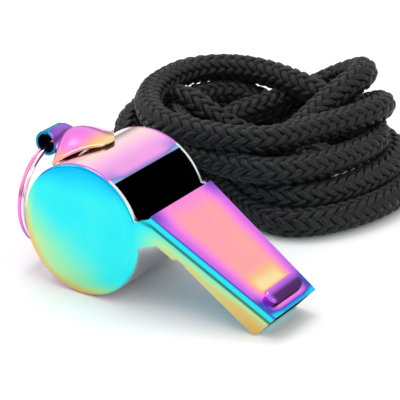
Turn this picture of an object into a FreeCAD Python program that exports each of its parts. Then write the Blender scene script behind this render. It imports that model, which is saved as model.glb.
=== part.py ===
import FreeCAD, Part

import math
import os

# Pressed-steel pea whistle with a key ring and a braided lanyard. Millimetres.
#
# The body is drawn in its own level frame: the barrel's axis is Y through the
# origin, the mouthpiece runs along +X and its top plate is level. It is then
# laid down as it rests on a table, on the barrel and the mouthpiece's lower
# lip. The finished frame stands on the table at z = 0, under the middle of the
# whistle's bounding box, with +X towards the mouth.

# Barrel
BARREL_RADIUS = 11.0
BODY_WIDTH = 19.7
SIDE_SHEET = 0.8
BAND_SHEET = 0.7
RIM_ROUND = 0.45
LABIUM_ANGLE = 87.0

# Mouthpiece
PLATE_SHEET = 0.7
PLATE_DROP = 0.2
PLATE_START = 8.2
MOUTH_X = 32.9
MOUTH_LOW_X = 31.9
MOUTH_DEPTH = 5.4
MOUTH_CORNER = 0.8
WIDTH_AT_WINDOW = 16.9
WIDTH_AT_MOUTH = 12.1
WINDWAY_GAP = 0.9
WINDWAY_FOOT_DROP = 0.64
WINDWAY_FOOT_SPAN = 11.0
NECK_DEPTH = 3.9
NOTCH_START = 14.7
NOTCH_LENGTH = 2.4
NOTCH_DEPTH = 0.5
NOTCH_SLANT = 0.4
NOTCH_ROUND = 0.2
NECK_RISE = 0.25
NECK_SPAN = 3.2
NECK_DIP_ANGLE = 52.0
NECK_ARCH_ANGLE = 30.0

# Bite bead across the top plate
BEAD_FROM_MOUTH = 3.0
BEAD_LENGTH = 9.2
BEAD_WIDTH = 2.8
BEAD_HEIGHT = 1.0

# Ring lug: a crowned saddle on the barrel with an eye for the key ring
LUG_SHEET = 0.6
SADDLE_ANGLES = (127.0, 137.0, 148.0, 158.0)
SADDLE_HALF_WIDTHS = (1.6, 3.6, 6.2, 8.4)
SADDLE_RISE = (0.9, 1.4, 2.3, 3.4)
EYE_BEHIND = 1.404
EYE_ANGLE = 172.7
EYE_BORE = 2.9
SEAT_OFFSET = (0.2, -0.9)
SEAT_BORE = 2.6
EYE_WIDTH = 5.0
LUG_LEG = 1.0
LUG_FOOT_ANGLE = 200.0

# Pea
PEA_DIAMETER = 9.5
PEA_CLEARANCE = 0.3

# Key ring: one flat wire wound twice
RING_RADIUS = 8.5
RING_WIRE_RADIAL = 0.8
RING_WIRE_AXIAL = 0.7
RING_TURN_GAP = 0.05
RING_LAP = 40.0

# Lanyard clamp on the ring
CLAMP_RING_ANGLE = 40.0
CLAMP_TAB = 0.8
CLAMP_TAB_WIDTH = 4.6
CLAMP_HOLE = 3.1
CLAMP_LENGTH = 7.0
CLAMP_WALL = 0.5
CLAMP_SIDE_GAP = 0.75

# Lanyard cord, from here on in the finished frame
CORD_DIAMETER = 5.0
CORD_GAP = 0.1
COIL_CENTRE = (-8.6, 46.0)
COIL_OUTER = (25.5, 23.0)
COIL_INNER = (13.0, 11.0)
COIL_HEIGHT = 16.5
LEAD_RUNS_OUT = [(0, 5.0, 0), (1.4, 5.3, -0.5), (3.2, 5.0, -1.0)]
LEAD_RUNS_BACK = [(0, 5.0, 0), (-0.9, 5.4, 0.9), (-2.2, 6.0, 1.8), (-2.6, 6.4, 2.2)]

V = FreeCAD.Vector
Y_AXIS = V(0, 1, 0)
BORE_RADIUS = BARREL_RADIUS - BAND_SHEET
HALF_WIDTH = BODY_WIDTH / 2
HALF_INNER = HALF_WIDTH - SIDE_SHEET
PLATE_LEVEL = BARREL_RADIUS - PLATE_DROP
UNDER_PLATE = PLATE_LEVEL - PLATE_SHEET
MOUTH_LOW_Z = PLATE_LEVEL - MOUTH_DEPTH
NECK_LOW_Z = PLATE_LEVEL - NECK_DEPTH
LIP_TOP = UNDER_PLATE - WINDWAY_GAP
FOOT_RADIUS = BARREL_RADIUS + PLATE_SHEET
THROAT_ANGLE = math.degrees(math.asin((LIP_TOP - WINDWAY_FOOT_DROP) / FOOT_RADIUS))


def unit(dx, dz):
    length = math.hypot(dx, dz)
    return dx / length, dz / length


def polar(radius, degrees):
    angle = math.radians(degrees)
    return radius * math.cos(angle), radius * math.sin(angle)


def rounded_wire(corners, y=0.0):
    """Closed wire in a plane of constant y; each corner is (x, z, radius)."""
    starts = []
    ends = []
    middles = []
    count = len(corners)
    for i, (x, z, radius) in enumerate(corners):
        before = corners[i - 1]
        after = corners[(i + 1) % count]
        ax, az = unit(before[0] - x, before[1] - z)
        bx, bz = unit(after[0] - x, after[1] - z)
        turn = math.acos(max(-1.0, min(1.0, ax * bx + az * bz)))
        reach = radius / math.tan(turn / 2) if radius else 0.0
        starts.append(V(x + ax * reach, y, z + az * reach))
        ends.append(V(x + bx * reach, y, z + bz * reach))
        if radius:
            mx, mz = unit(ax + bx, az + bz)
            depth = radius / math.sin(turn / 2) - radius
            middles.append(V(x + mx * depth, y, z + mz * depth))
        else:
            middles.append(None)
    edges = []
    for i in range(count):
        if middles[i] is not None:
            edges.append(Part.Arc(starts[i], middles[i], ends[i]).toShape())
        following = starts[(i + 1) % count]
        if ends[i].distanceToPoint(following) > 1e-6:
            edges.append(Part.LineSegment(ends[i], following).toShape())
    return Part.Wire(edges)


def prism(corners, y_from, y_to):
    """Outline in XZ pushed from y_from to y_to."""
    face = Part.Face(rounded_wire(corners, y_from))
    return face.extrude(V(0, y_to - y_from, 0))


def plan_prism(points, z_from, z_to):
    """Outline in XY pushed from z_from to z_to."""
    wire = Part.makePolygon([V(x, y, z_from) for x, y in points + points[:1]])
    return Part.Face(wire).extrude(V(0, 0, z_to - z_from))


def disc(radius, y_from, y_to):
    return Part.makeCylinder(radius, y_to - y_from, V(0, y_from, 0), Y_AXIS)


def arc_strip(inner, outer, from_deg, to_deg, half_width):
    """Sheet bent round the barrel's axis between two angles."""
    swept = to_deg - from_deg
    x0, z0 = polar(inner, from_deg)
    x1, z1 = polar(outer, from_deg)
    corners = [V(x0, -half_width, z0), V(x1, -half_width, z1),
               V(x1, half_width, z1), V(x0, half_width, z0)]
    face = Part.Face(Part.makePolygon(corners + corners[:1]))
    return face.revolve(V(0, 0, 0), V(0, -1, 0), swept)


def mirrored(shape):
    return shape.mirror(V(0, 0, 0), Y_AXIS)


def outer_half_width(x):
    """Half width over the mouthpiece's sides, which taper to the mouth."""
    share = (x - PLATE_START) / (MOUTH_X - PLATE_START)
    return (WIDTH_AT_WINDOW + share * (WIDTH_AT_MOUTH - WIDTH_AT_WINDOW)) / 2


def lower_edge(x):
    """Height of the mouthpiece's lower edge ahead of the notch."""
    notch_end = NOTCH_START + NOTCH_LENGTH
    slope = (NECK_LOW_Z + NECK_RISE - MOUTH_LOW_Z) / (notch_end - MOUTH_LOW_X)
    return MOUTH_LOW_Z + (x - MOUTH_LOW_X) * slope


def mouth_edge(z):
    """Where the slanting mouth end lies at a height."""
    share = (z - MOUTH_LOW_Z) / (PLATE_LEVEL - MOUTH_LOW_Z)
    return MOUTH_LOW_X + share * (MOUTH_X - MOUTH_LOW_X)


# Where the flat disc of a side plate turns into the mouthpiece's side
DIP = polar(BARREL_RADIUS, NECK_DIP_ANGLE)
ARCH = polar(BARREL_RADIUS, NECK_ARCH_ANGLE)
CHEEK_START_TOP = (PLATE_START, UNDER_PLATE)
CHEEK_START_LOW = (PLATE_START + NECK_SPAN, NECK_LOW_Z)


def side_plate():
    """Left side: barrel disc, neck and mouthpiece cheek in one sheet."""
    rim = disc(BARREL_RADIUS, HALF_INNER, HALF_WIDTH)
    front = [e for e in rim.Edges if abs(e.BoundBox.YMin - HALF_WIDTH) < 1e-6 and e.Closed]
    rim = rim.makeFillet(RIM_ROUND, front)

    low_x, low_z = CHEEK_START_LOW
    top_x, top_z = CHEEK_START_TOP
    notch_end = NOTCH_START + NOTCH_LENGTH
    notch_roof = lower_edge(notch_end) + NOTCH_DEPTH - NECK_RISE
    cheek = [
        (top_x, top_z, 0),
        (low_x, low_z, 0),
        (NOTCH_START, low_z - 0.1, 0),
        (NOTCH_START + NOTCH_SLANT, low_z + NOTCH_DEPTH, NOTCH_ROUND),
        (notch_end - NOTCH_SLANT, notch_roof, NOTCH_ROUND),
        (notch_end, lower_edge(notch_end), 0),
        (MOUTH_LOW_X, MOUTH_LOW_Z, MOUTH_CORNER),
        (mouth_edge(UNDER_PLATE), UNDER_PLATE, 0),
    ]
    blank = prism(cheek, 0, HALF_WIDTH)
    far = MOUTH_X + 1
    near = top_x - 1
    slab = plan_prism([(near, outer_half_width(near) - SIDE_SHEET), (near, outer_half_width(near)),
                       (far, outer_half_width(far)), (far, outer_half_width(far) - SIDE_SHEET)],
                      0, PLATE_LEVEL)
    cheek_sheet = blank.common(slab)

    def section(points):
        return Part.makePolygon([V(x, y, z) for x, y, z in points + points[:1]])

    (dip_x, dip_z), (arch_x, arch_z) = DIP, ARCH
    root = [(dip_x, HALF_INNER, dip_z), (dip_x, HALF_WIDTH, dip_z),
            (arch_x, HALF_WIDTH, arch_z), (arch_x, HALF_INNER, arch_z)]
    tip = [(top_x, outer_half_width(top_x) - SIDE_SHEET, top_z),
           (top_x, outer_half_width(top_x), top_z),
           (low_x, outer_half_width(low_x), low_z),
           (low_x, outer_half_width(low_x) - SIDE_SHEET, low_z)]
    neck = Part.makeLoft([section(root), section(tip)], True, True)
    neck = neck.cut(disc(BARREL_RADIUS, 0, HALF_INNER))
    return rim.fuse([neck, cheek_sheet]).removeSplitter()


def barrel_band():
    """Sheet wrapped from the blowing edge, round the back, to the throat."""
    return arc_strip(BORE_RADIUS, BARREL_RADIUS, LABIUM_ANGLE, 360 + THROAT_ANGLE, HALF_INNER)


def mouthpiece_top():
    """Flat plate over the windway, with the raised bead for the teeth."""
    slab = prism([(PLATE_START, UNDER_PLATE, 0), (mouth_edge(UNDER_PLATE), UNDER_PLATE, 0),
                  (MOUTH_X, PLATE_LEVEL, 0), (PLATE_START, PLATE_LEVEL, 0)],
                 -HALF_WIDTH, HALF_WIDTH)
    far = MOUTH_X + 1
    end = outer_half_width(far)
    trim = plan_prism([(PLATE_START - 1, -outer_half_width(PLATE_START - 1)), (far, -end),
                       (far, end), (PLATE_START - 1, outer_half_width(PLATE_START - 1))],
                      0, PLATE_LEVEL + 1)
    plate = slab.common(trim)

    bead_x = MOUTH_X - BEAD_FROM_MOUTH
    straight = (BEAD_LENGTH - BEAD_WIDTH) / 2
    radius = BEAD_WIDTH / 2
    base = PLATE_LEVEL - PLATE_SHEET / 2
    height = BEAD_HEIGHT + PLATE_SHEET / 2
    bead = Part.makeBox(BEAD_WIDTH, 2 * straight, height, V(bead_x - radius, -straight, base))
    for y in (-straight, straight):
        bead = bead.fuse(Part.makeCylinder(radius, height, V(bead_x, y, base)))
    bead = bead.removeSplitter()
    crown = [e for e in bead.Edges if abs(e.BoundBox.ZMin - base - height) < 1e-6]
    bead = bead.makeFillet(BEAD_HEIGHT * 0.6, crown)
    return plate.fuse(bead).removeSplitter()


def windway_floor():
    """Floor sheet from the mouth up to the lip, with a foot on the barrel band."""
    lip_x = polar(FOOT_RADIUS, THROAT_ANGLE)[0] - PLATE_SHEET / 2
    kink_x = NOTCH_START
    kink_top = lower_edge(kink_x) + PLATE_SHEET + 0.2
    mouth_top = MOUTH_LOW_Z + MOUTH_CORNER + PLATE_SHEET
    ramp = prism([(lip_x, LIP_TOP - PLATE_SHEET, 0), (kink_x, kink_top - PLATE_SHEET, 0),
                  (mouth_edge(mouth_top - PLATE_SHEET), mouth_top - PLATE_SHEET, 0),
                  (mouth_edge(mouth_top), mouth_top, 0), (kink_x, kink_top, 0),
                  (lip_x, LIP_TOP, 0)], -HALF_WIDTH, HALF_WIDTH)
    far = MOUTH_X + 1
    inner = [(lip_x - 2, outer_half_width(PLATE_START) - SIDE_SHEET),
             (PLATE_START, outer_half_width(PLATE_START) - SIDE_SHEET),
             (far, outer_half_width(far) - SIDE_SHEET)]
    outline = inner + [(x, -y) for x, y in reversed(inner)]
    ramp = ramp.common(plan_prism(outline, 0, PLATE_LEVEL))
    foot_half = outer_half_width(CHEEK_START_LOW[0]) - SIDE_SHEET
    foot = arc_strip(BARREL_RADIUS, FOOT_RADIUS, THROAT_ANGLE - WINDWAY_FOOT_SPAN,
                     THROAT_ANGLE, foot_half)
    return ramp.fuse(foot).removeSplitter()


def eye_centres():
    """Middle of the lug's eye, and of the seat in it that the ring hangs on."""
    behind = BARREL_RADIUS + EYE_BEHIND
    x, z = polar(-behind / math.cos(math.radians(EYE_ANGLE - rest_tilt())), EYE_ANGLE)
    return (x, z), (x + SEAT_OFFSET[0], z + SEAT_OFFSET[1])


def ring_lug():
    """Crowned saddle that narrows to a tongue, with the ring's eye behind it."""
    def arch(degrees, half, crest):
        rx, rz = polar(1.0, degrees)
        foot = BARREL_RADIUS - 0.3

        def at(y, radius):
            return V(rx * radius, y, rz * radius)

        inner_half = half - LUG_SHEET
        outside = Part.Arc(at(-half, foot), at(0, crest), at(half, foot)).toShape()
        inside = Part.Arc(at(inner_half, foot), at(0, crest - LUG_SHEET), at(-inner_half, foot))
        left = Part.LineSegment(at(half, foot), at(inner_half, foot)).toShape()
        right = Part.LineSegment(at(-inner_half, foot), at(-half, foot)).toShape()
        return Part.Wire([outside, left, inside.toShape(), right])

    sections = [arch(angle, half, BARREL_RADIUS + rise)
                for angle, half, rise in zip(SADDLE_ANGLES, SADDLE_HALF_WIDTHS, SADDLE_RISE)]
    saddle = Part.makeLoft(sections, True, False)

    (eye_x, eye_z), (seat_x, seat_z) = eye_centres()
    eye_radius = math.hypot(eye_x, eye_z)
    half = EYE_WIDTH / 2

    def teardrop(grow, half_width):
        """Round eye drawn down to the ring's seat, grown by a sheet thickness."""
        width = 2 * half_width
        large = EYE_BORE / 2 + grow
        small = SEAT_BORE / 2 + grow
        across_x, across_z = unit(eye_z - seat_z, seat_x - eye_x)
        waist = prism([(eye_x - across_x * small, eye_z - across_z * small, 0),
                       (seat_x - across_x * small, seat_z - across_z * small, 0),
                       (seat_x + across_x * small, seat_z + across_z * small, 0),
                       (eye_x + across_x * small, eye_z + across_z * small, 0)],
                      -half_width, half_width)
        top = Part.makeCylinder(large, width, V(eye_x, -half_width, eye_z), Y_AXIS)
        bottom = Part.makeCylinder(small, width, V(seat_x, -half_width, seat_z), Y_AXIS)
        return top.fuse([waist, bottom])

    crest = BARREL_RADIUS + SADDLE_RISE[-1]
    rear = SADDLE_ANGLES[-1] - 1
    web_end = EYE_ANGLE - math.degrees((EYE_BORE / 2 + 0.3 * LUG_SHEET) / eye_radius)
    web = prism([polar(crest - LUG_SHEET, rear) + (0,), polar(crest, rear) + (0,),
                 polar(eye_radius + LUG_SHEET, web_end) + (0,),
                 polar(eye_radius - LUG_SHEET / 3, web_end) + (0,)], -half, half)
    foot = arc_strip(BARREL_RADIUS, BARREL_RADIUS + LUG_SHEET, EYE_ANGLE + 2, LUG_FOOT_ANGLE, half)
    leg_angle = EYE_ANGLE + 2 + math.degrees(LUG_LEG / BARREL_RADIUS)
    leg = prism([polar(BARREL_RADIUS, EYE_ANGLE + 2) + (0,), (seat_x, seat_z, 0),
                 (seat_x, seat_z - LUG_LEG, 0), polar(BARREL_RADIUS, leg_angle) + (0,)],
                -half, half)
    eye = teardrop(LUG_SHEET, half)
    hole = teardrop(0, HALF_WIDTH)
    lug = saddle.fuse([eye, web, foot, leg])
    lug = lug.cut(hole.fuse(disc(BARREL_RADIUS, -HALF_WIDTH - 1, HALF_WIDTH + 1)))
    return lug.removeSplitter()


def pea(tilt):
    """Cork ball at the bottom of the barrel as it lies."""
    orbit = BORE_RADIUS - PEA_DIAMETER / 2 - PEA_CLEARANCE
    x, z = polar(orbit, 270.0 + tilt)
    return Part.makeSphere(PEA_DIAMETER / 2, V(x, 0, z))


def split_ring(top):
    """Flat wire wound twice, hanging in the plane x = top.x."""
    centre = V(top.x, 0, top.z - RING_RADIUS)
    pitch = RING_WIRE_AXIAL + RING_TURN_GAP
    inner = RING_RADIUS - RING_WIRE_RADIAL / 2

    def turn(offset, from_deg, swept):
        corners = [V(offset - RING_WIRE_AXIAL / 2, 0, inner),
                   V(offset + RING_WIRE_AXIAL / 2, 0, inner),
                   V(offset + RING_WIRE_AXIAL / 2, 0, inner + RING_WIRE_RADIAL),
                   V(offset - RING_WIRE_AXIAL / 2, 0, inner + RING_WIRE_RADIAL)]
        face = Part.Face(Part.makePolygon(corners + corners[:1]))
        face.rotate(V(0, 0, 0), V(1, 0, 0), from_deg)
        return face.revolve(V(0, 0, 0), V(1, 0, 0), swept)

    back = turn(-pitch / 2, 180 + RING_LAP / 2, 360 - RING_LAP)
    front = turn(pitch / 2, 180 + RING_LAP / 2, 360 - RING_LAP)

    # The wire crosses from one turn to the other in the lap at the bottom.
    def cross_section(offset, degrees):
        angle = math.radians(degrees)
        points = []
        for dx, radius in ((-0.5, inner), (0.5, inner), (0.5, inner + RING_WIRE_RADIAL),
                           (-0.5, inner + RING_WIRE_RADIAL)):
            points.append(V(offset + dx * RING_WIRE_AXIAL, -radius * math.sin(angle),
                            radius * math.cos(angle)))
        return Part.makePolygon(points + points[:1])

    steps = 6
    crossing = []
    for i in range(steps + 1):
        share = i / steps
        ease = share * share * (3 - 2 * share)
        degrees = 180 - RING_LAP / 2 + RING_LAP * share
        crossing.append(cross_section(pitch / 2 - pitch * ease, degrees))
    link = Part.makeLoft(crossing, True, True)
    ring = back.fuse([front, link]).removeSplitter()
    ring.translate(centre)
    return ring


def lanyard_clamp(top):
    """Tab on the ring and a sleeve pressed round both ends of the cord."""
    angle = math.radians(CLAMP_RING_ANGLE)
    hole_y = RING_RADIUS * math.sin(angle)
    level = top.z - RING_RADIUS - RING_RADIUS * math.cos(angle)
    start = HALF_WIDTH + CLAMP_SIDE_GAP
    half_tab = CLAMP_TAB_WIDTH / 2
    tab = Part.makeCylinder(half_tab, CLAMP_TAB, V(top.x, hole_y, level - CLAMP_TAB / 2))
    tab = tab.fuse(Part.makeBox(CLAMP_TAB_WIDTH, start - hole_y + 1, CLAMP_TAB,
                                V(top.x - half_tab, hole_y, level - CLAMP_TAB / 2)))
    tab = tab.cut(Part.makeCylinder(CLAMP_HOLE / 2, 4 * CLAMP_TAB,
                                    V(top.x, hole_y, level - 2 * CLAMP_TAB)))
    width = 2 * (CORD_DIAMETER + CLAMP_WALL)
    height = CORD_DIAMETER + 2 * CLAMP_WALL
    body = Part.makeBox(width, CLAMP_LENGTH, height,
                        V(top.x - width / 2, start, level - height / 2))
    along = [e for e in body.Edges if e.BoundBox.YLength > CLAMP_LENGTH - 1e-6]
    body = body.makeFillet(height * 0.42, along)
    return tab.fuse(body).removeSplitter(), V(top.x, start + CLAMP_LENGTH, level)


def route(start, runs):
    points = [start]
    for run in runs:
        points.append(points[-1] + V(*run))
    return points


def cord_tube(points, name):
    """Straight runs joined by tangent arcs as large as the runs allow."""
    edges = []
    radii = []
    last = points[0]
    for before, here, after in zip(points, points[1:], points[2:]):
        back = (before - here).normalize()
        ahead = (after - here).normalize()
        shorter = min(before.distanceToPoint(here), here.distanceToPoint(after))
        reach = 0.45 * shorter
        turn = math.pi - back.getAngle(ahead)
        radius = reach / math.tan(turn / 2)
        radii.append(radius)
        start = here + back * reach
        end = here + ahead * reach
        depth = radius / math.cos(turn / 2) - radius
        middle = here + (back + ahead).normalize() * depth
        edges.append(Part.LineSegment(last, start).toShape())
        edges.append(Part.Arc(start, middle, end).toShape())
        last = end
    edges.append(Part.LineSegment(last, points[-1]).toShape())
    path = Part.Wire(edges)
    section = Part.Wire(Part.Circle(points[0], points[1] - points[0], CORD_DIAMETER / 2).toShape())
    tube = path.makePipeShell([section], True, True)
    expected = math.pi * CORD_DIAMETER ** 2 / 4 * path.Length
    print("%s length %.1f, radii %s, volume %.0f of %.0f" % (
        name, path.Length, ["%.1f" % r for r in radii], tube.Volume, expected))
    return tube


def cord_coil():
    """Outer shape of the loosely coiled lanyard."""
    def oval(size):
        ellipse = Part.Ellipse(V(COIL_CENTRE[0], COIL_CENTRE[1], 0), size[0], size[1])
        return Part.Face(Part.Wire(ellipse.toShape())).extrude(V(0, 0, COIL_HEIGHT))

    return oval(COIL_OUTER).cut(oval(COIL_INNER))


def rest_tilt():
    """Angle that brings the mouth's lower corner down to the barrel's level."""
    notch_end = NOTCH_START + NOTCH_LENGTH
    ax, az = unit(notch_end - MOUTH_LOW_X, lower_edge(notch_end) - MOUTH_LOW_Z)
    bx, bz = unit(MOUTH_X - MOUTH_LOW_X, PLATE_LEVEL - MOUTH_LOW_Z)
    turn = math.acos(ax * bx + az * bz)
    reach = MOUTH_CORNER / math.sin(turn)
    corner_x = MOUTH_LOW_X + (ax + bx) * reach
    corner_z = MOUTH_LOW_Z + (az + bz) * reach
    distance = math.hypot(corner_x, corner_z)
    drop = math.asin((BARREL_RADIUS - MOUTH_CORNER) / distance)
    return math.degrees(math.atan2(corner_z, corner_x) + drop)


def main():
    tilt = rest_tilt()
    cheek = side_plate()
    shapes = {
        "side_plate_left": cheek,
        "side_plate_right": mirrored(cheek),
        "barrel_band": barrel_band(),
        "mouthpiece_top": mouthpiece_top(),
        "windway_floor": windway_floor(),
        "ring_lug": ring_lug(),
        "cork_pea": pea(tilt),
    }
    for shape in shapes.values():
        shape.rotate(V(0, 0, 0), Y_AXIS, tilt)
    seat_x, seat_z = eye_centres()[1]
    turn = FreeCAD.Rotation(Y_AXIS, tilt)
    ring_top = turn.multVec(V(seat_x, 0, seat_z))
    shapes["split_ring"] = split_ring(ring_top)
    shapes["lanyard_clamp"], cord_exit = lanyard_clamp(ring_top)

    whistle = Part.makeCompound([s for n, s in shapes.items() if n != "lanyard_clamp"])
    box = whistle.optimalBoundingBox(False)
    shift = V(-(box.XMin + box.XMax) / 2, -(box.YMin + box.YMax) / 2, BARREL_RADIUS)
    for shape in shapes.values():
        shape.translate(shift)
    ring_top = ring_top + shift
    cord_exit = cord_exit + shift

    beside = V((CORD_DIAMETER + CORD_GAP) / 2, 0, 0)
    shapes["cord_lead_out"] = cord_tube(route(cord_exit + beside, LEAD_RUNS_OUT), "lead out")
    shapes["cord_lead_back"] = cord_tube(route(cord_exit - beside, LEAD_RUNS_BACK), "lead back")
    shapes["cord_coil"] = cord_coil()

    os.makedirs("parts", exist_ok=True)
    for name, shape in shapes.items():
        solids = shape.Solids
        shape = solids[0] if len(solids) == 1 else shape
        if len(solids) != 1 or not shape.isValid():
            print("CHECK", name, len(solids), shape.isValid())
        shape.exportStep("parts/%s.step" % name)
        b = shape.optimalBoundingBox(False)
        print("%-18s x %.2f..%.2f y %.2f..%.2f z %.2f..%.2f volume %.1f" % (
            name, b.XMin, b.XMax, b.YMin, b.YMax, b.ZMin, b.ZMax, shape.Volume))
    print("rest tilt %.2f, barrel axis %s, ring pivot %s, cord exit %s" % (
        tilt, shift, ring_top, cord_exit))


main()
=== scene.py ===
# %% [markdown]
# # A pea whistle with its neck cord
# The whistle is pressed from sheet metal and coloured by a thin oxide film.
# A key ring hangs from its lug and holds the clamp of a braided neck cord.
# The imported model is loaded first, because it fixes every size and place.

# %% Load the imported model
import math
import bmesh
import bpy
from mathutils import Matrix, Quaternion, Vector


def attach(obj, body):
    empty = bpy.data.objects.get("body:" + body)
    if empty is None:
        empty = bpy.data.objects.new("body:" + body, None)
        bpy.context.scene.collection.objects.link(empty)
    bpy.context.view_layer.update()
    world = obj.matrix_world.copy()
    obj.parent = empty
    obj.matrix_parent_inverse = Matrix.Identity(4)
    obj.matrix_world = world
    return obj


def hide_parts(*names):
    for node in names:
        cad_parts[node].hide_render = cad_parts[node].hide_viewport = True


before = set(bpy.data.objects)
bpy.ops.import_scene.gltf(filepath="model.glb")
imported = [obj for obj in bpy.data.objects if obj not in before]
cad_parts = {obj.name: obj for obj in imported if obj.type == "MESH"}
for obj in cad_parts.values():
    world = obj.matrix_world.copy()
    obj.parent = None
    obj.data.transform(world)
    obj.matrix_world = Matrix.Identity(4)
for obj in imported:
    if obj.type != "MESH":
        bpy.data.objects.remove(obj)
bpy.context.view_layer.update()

MM = 0.001
scene = bpy.context.scene

# %% [markdown]
# ## Viewpoint
# A long lens far away keeps the upright lines almost parallel, as in a product view.
# The camera is turned by azimuth and elevation and then rolled by under one degree.

# %% Camera
AZIMUTH = math.radians(32.81)
ELEVATION = math.radians(24.11)
ROLL = math.radians(0.935)
camera_data = bpy.data.cameras.new("studio_camera")
camera_data.lens = 189.0
camera_data.sensor_width = 36.0
camera_data.clip_start = 0.01
camera_data.clip_end = 20.0
camera = bpy.data.objects.new("studio_camera", camera_data)
scene.collection.objects.link(camera)
towards = Vector((math.sin(AZIMUTH) * math.cos(ELEVATION),
                  -math.cos(AZIMUTH) * math.cos(ELEVATION),
                  math.sin(ELEVATION)))
turn = (-towards).to_track_quat("-Z", "Y") @ Quaternion((0.0, 0.0, 1.0), ROLL)
camera.rotation_mode = "QUATERNION"
camera.rotation_quaternion = turn
camera.location = Vector((168.344, -251.343, 150.634)) * MM
scene.camera = camera
print("camera sees along", [round(c, 3) for c in -towards])

# %% [markdown]
# ## Floor and light
# The stage is a white sweep: a pale floor, an even white surround and three soft lamps.
# Polished metal shows mostly its surroundings, so an even surround keeps the film's colours clear.

# %% Floor, surround and lamps
floor_mesh = bpy.data.meshes.new("floor")
floor_bm = bmesh.new()
bmesh.ops.create_grid(floor_bm, x_segments=1, y_segments=1, size=3.0)
floor_bm.to_mesh(floor_mesh)
floor_bm.free()
floor = bpy.data.objects.new("floor", floor_mesh)
scene.collection.objects.link(floor)
floor.location = (0.0, 0.0, -0.0001)
floor_paint = bpy.data.materials.new("floor_paint")
floor_paint.use_nodes = True
floor_shader = floor_paint.node_tree.nodes["Principled BSDF"]
floor_shader.inputs["Base Color"].default_value = (0.93, 0.93, 0.93, 1.0)
floor_shader.inputs["Roughness"].default_value = 0.8
floor_shader.inputs["Specular IOR Level"].default_value = 0.1
floor_mesh.materials.append(floor_paint)

world = bpy.data.worlds.new("white_surround")
world.use_nodes = True
sky = world.node_tree
sky_coords = sky.nodes.new("ShaderNodeTexCoord")
sky_split = sky.nodes.new("ShaderNodeSeparateXYZ")
sky_ramp = sky.nodes.new("ShaderNodeValToRGB")
sky_ramp.color_ramp.elements[0].position = 0.02
sky_ramp.color_ramp.elements[0].color = (0.20, 0.20, 0.21, 1.0)
sky_ramp.color_ramp.elements[1].position = 0.28
sky_ramp.color_ramp.elements[1].color = (1.0, 1.0, 1.0, 1.0)
sky.links.new(sky_coords.outputs["Generated"], sky_split.inputs[0])
sky.links.new(sky_split.outputs["Z"], sky_ramp.inputs[0])
sky.links.new(sky_ramp.outputs["Color"], sky.nodes["Background"].inputs["Color"])
sky.nodes["Background"].inputs["Strength"].default_value = 1.0
scene.world = world
scene.view_settings.view_transform = "Standard"


def soft_lamp(name, place, aim, size, watts):
    data = bpy.data.lights.new(name, "AREA")
    data.shape = "DISK"
    data.size = size
    data.energy = watts
    lamp = bpy.data.objects.new(name, data)
    scene.collection.objects.link(lamp)
    lamp.location = place
    lamp.rotation_mode = "QUATERNION"
    lamp.rotation_quaternion = (Vector(aim) - Vector(place)).to_track_quat("-Z", "Y")
    return lamp


soft_lamp("lamp_above", (-0.15, 0.10, 0.60), (0.0, 0.02, 0.0), 0.35, 0.9)
soft_lamp("lamp_left", (-0.50, -0.35, 0.30), (0.0, 0.0, 0.01), 0.30, 0.5)
soft_lamp("lamp_right", (0.55, -0.10, 0.30), (0.0, 0.0, 0.01), 0.25, 0.4)

# %% [markdown]
# ## The neck cord's line
# A limp round braid, 5 mm across, leaves the clamp twice and is laid down in loose turns.
# One NURBS spline holds the whole way, so a point can be moved without making a kink.
# The lowest turns are widest, the upper ones are smaller and shifted, and one short bight stands
# across the right end of the pile.

# %% Points of the cord's way, from the clamp and back to it (millimetres)
lead_out = [(-19.79, 17.6, 4.57), (-19.79, 22.6, 4.57), (-19.0, 27.6, 4.0), (-15.8, 31.8, 3.2),
            (-10.8, 33.4, 2.7), (-5.4, 31.2, 2.5), (0.2, 28.0, 2.5)]
first_turn = [(5.6, 27.0, 2.5), (10.2, 30.8, 2.5), (13.2, 36.4, 2.5), (15.0, 42.4, 2.5),
              (15.6, 49.0, 2.5), (13.8, 55.6, 2.5), (9.8, 61.4, 2.5), (3.6, 65.4, 2.5),
              (-4.0, 67.2, 2.6), (-12.0, 67.2, 2.6), (-20.0, 65.0, 2.6), (-26.5, 60.6, 2.7),
              (-30.3, 54.0, 3.0), (-31.0, 47.0, 4.0), (-28.6, 41.0, 5.6)]
second_turn = [(-23.5, 37.4, 6.6), (-17.0, 36.6, 6.8), (-10.8, 36.0, 6.4), (-4.8, 32.4, 5.8),
               (1.0, 29.6, 5.6), (6.2, 31.4, 5.5), (9.8, 37.4, 5.5), (11.8, 44.4, 5.6),
               (12.4, 52.0, 5.8), (9.8, 59.0, 6.0), (3.8, 63.2, 6.1), (-3.6, 64.8, 6.1),
               (-11.6, 64.8, 6.1), (-19.0, 62.4, 6.2), (-24.6, 57.4, 6.4), (-26.8, 50.8, 6.6),
               (-26.2, 43.6, 7.4), (-23.4, 37.2, 8.8)]
third_turn = [(-18.8, 31.8, 9.8), (-12.8, 29.2, 10.0), (-6.6, 28.2, 10.0), (-0.6, 28.2, 10.0),
              (3.8, 31.4, 10.0), (6.6, 36.8, 9.9), (8.4, 42.6, 9.8), (9.4, 48.6, 9.7),
              (8.8, 54.2, 9.8), (5.0, 58.0, 10.4), (0.0, 58.6, 11.6)]
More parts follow.
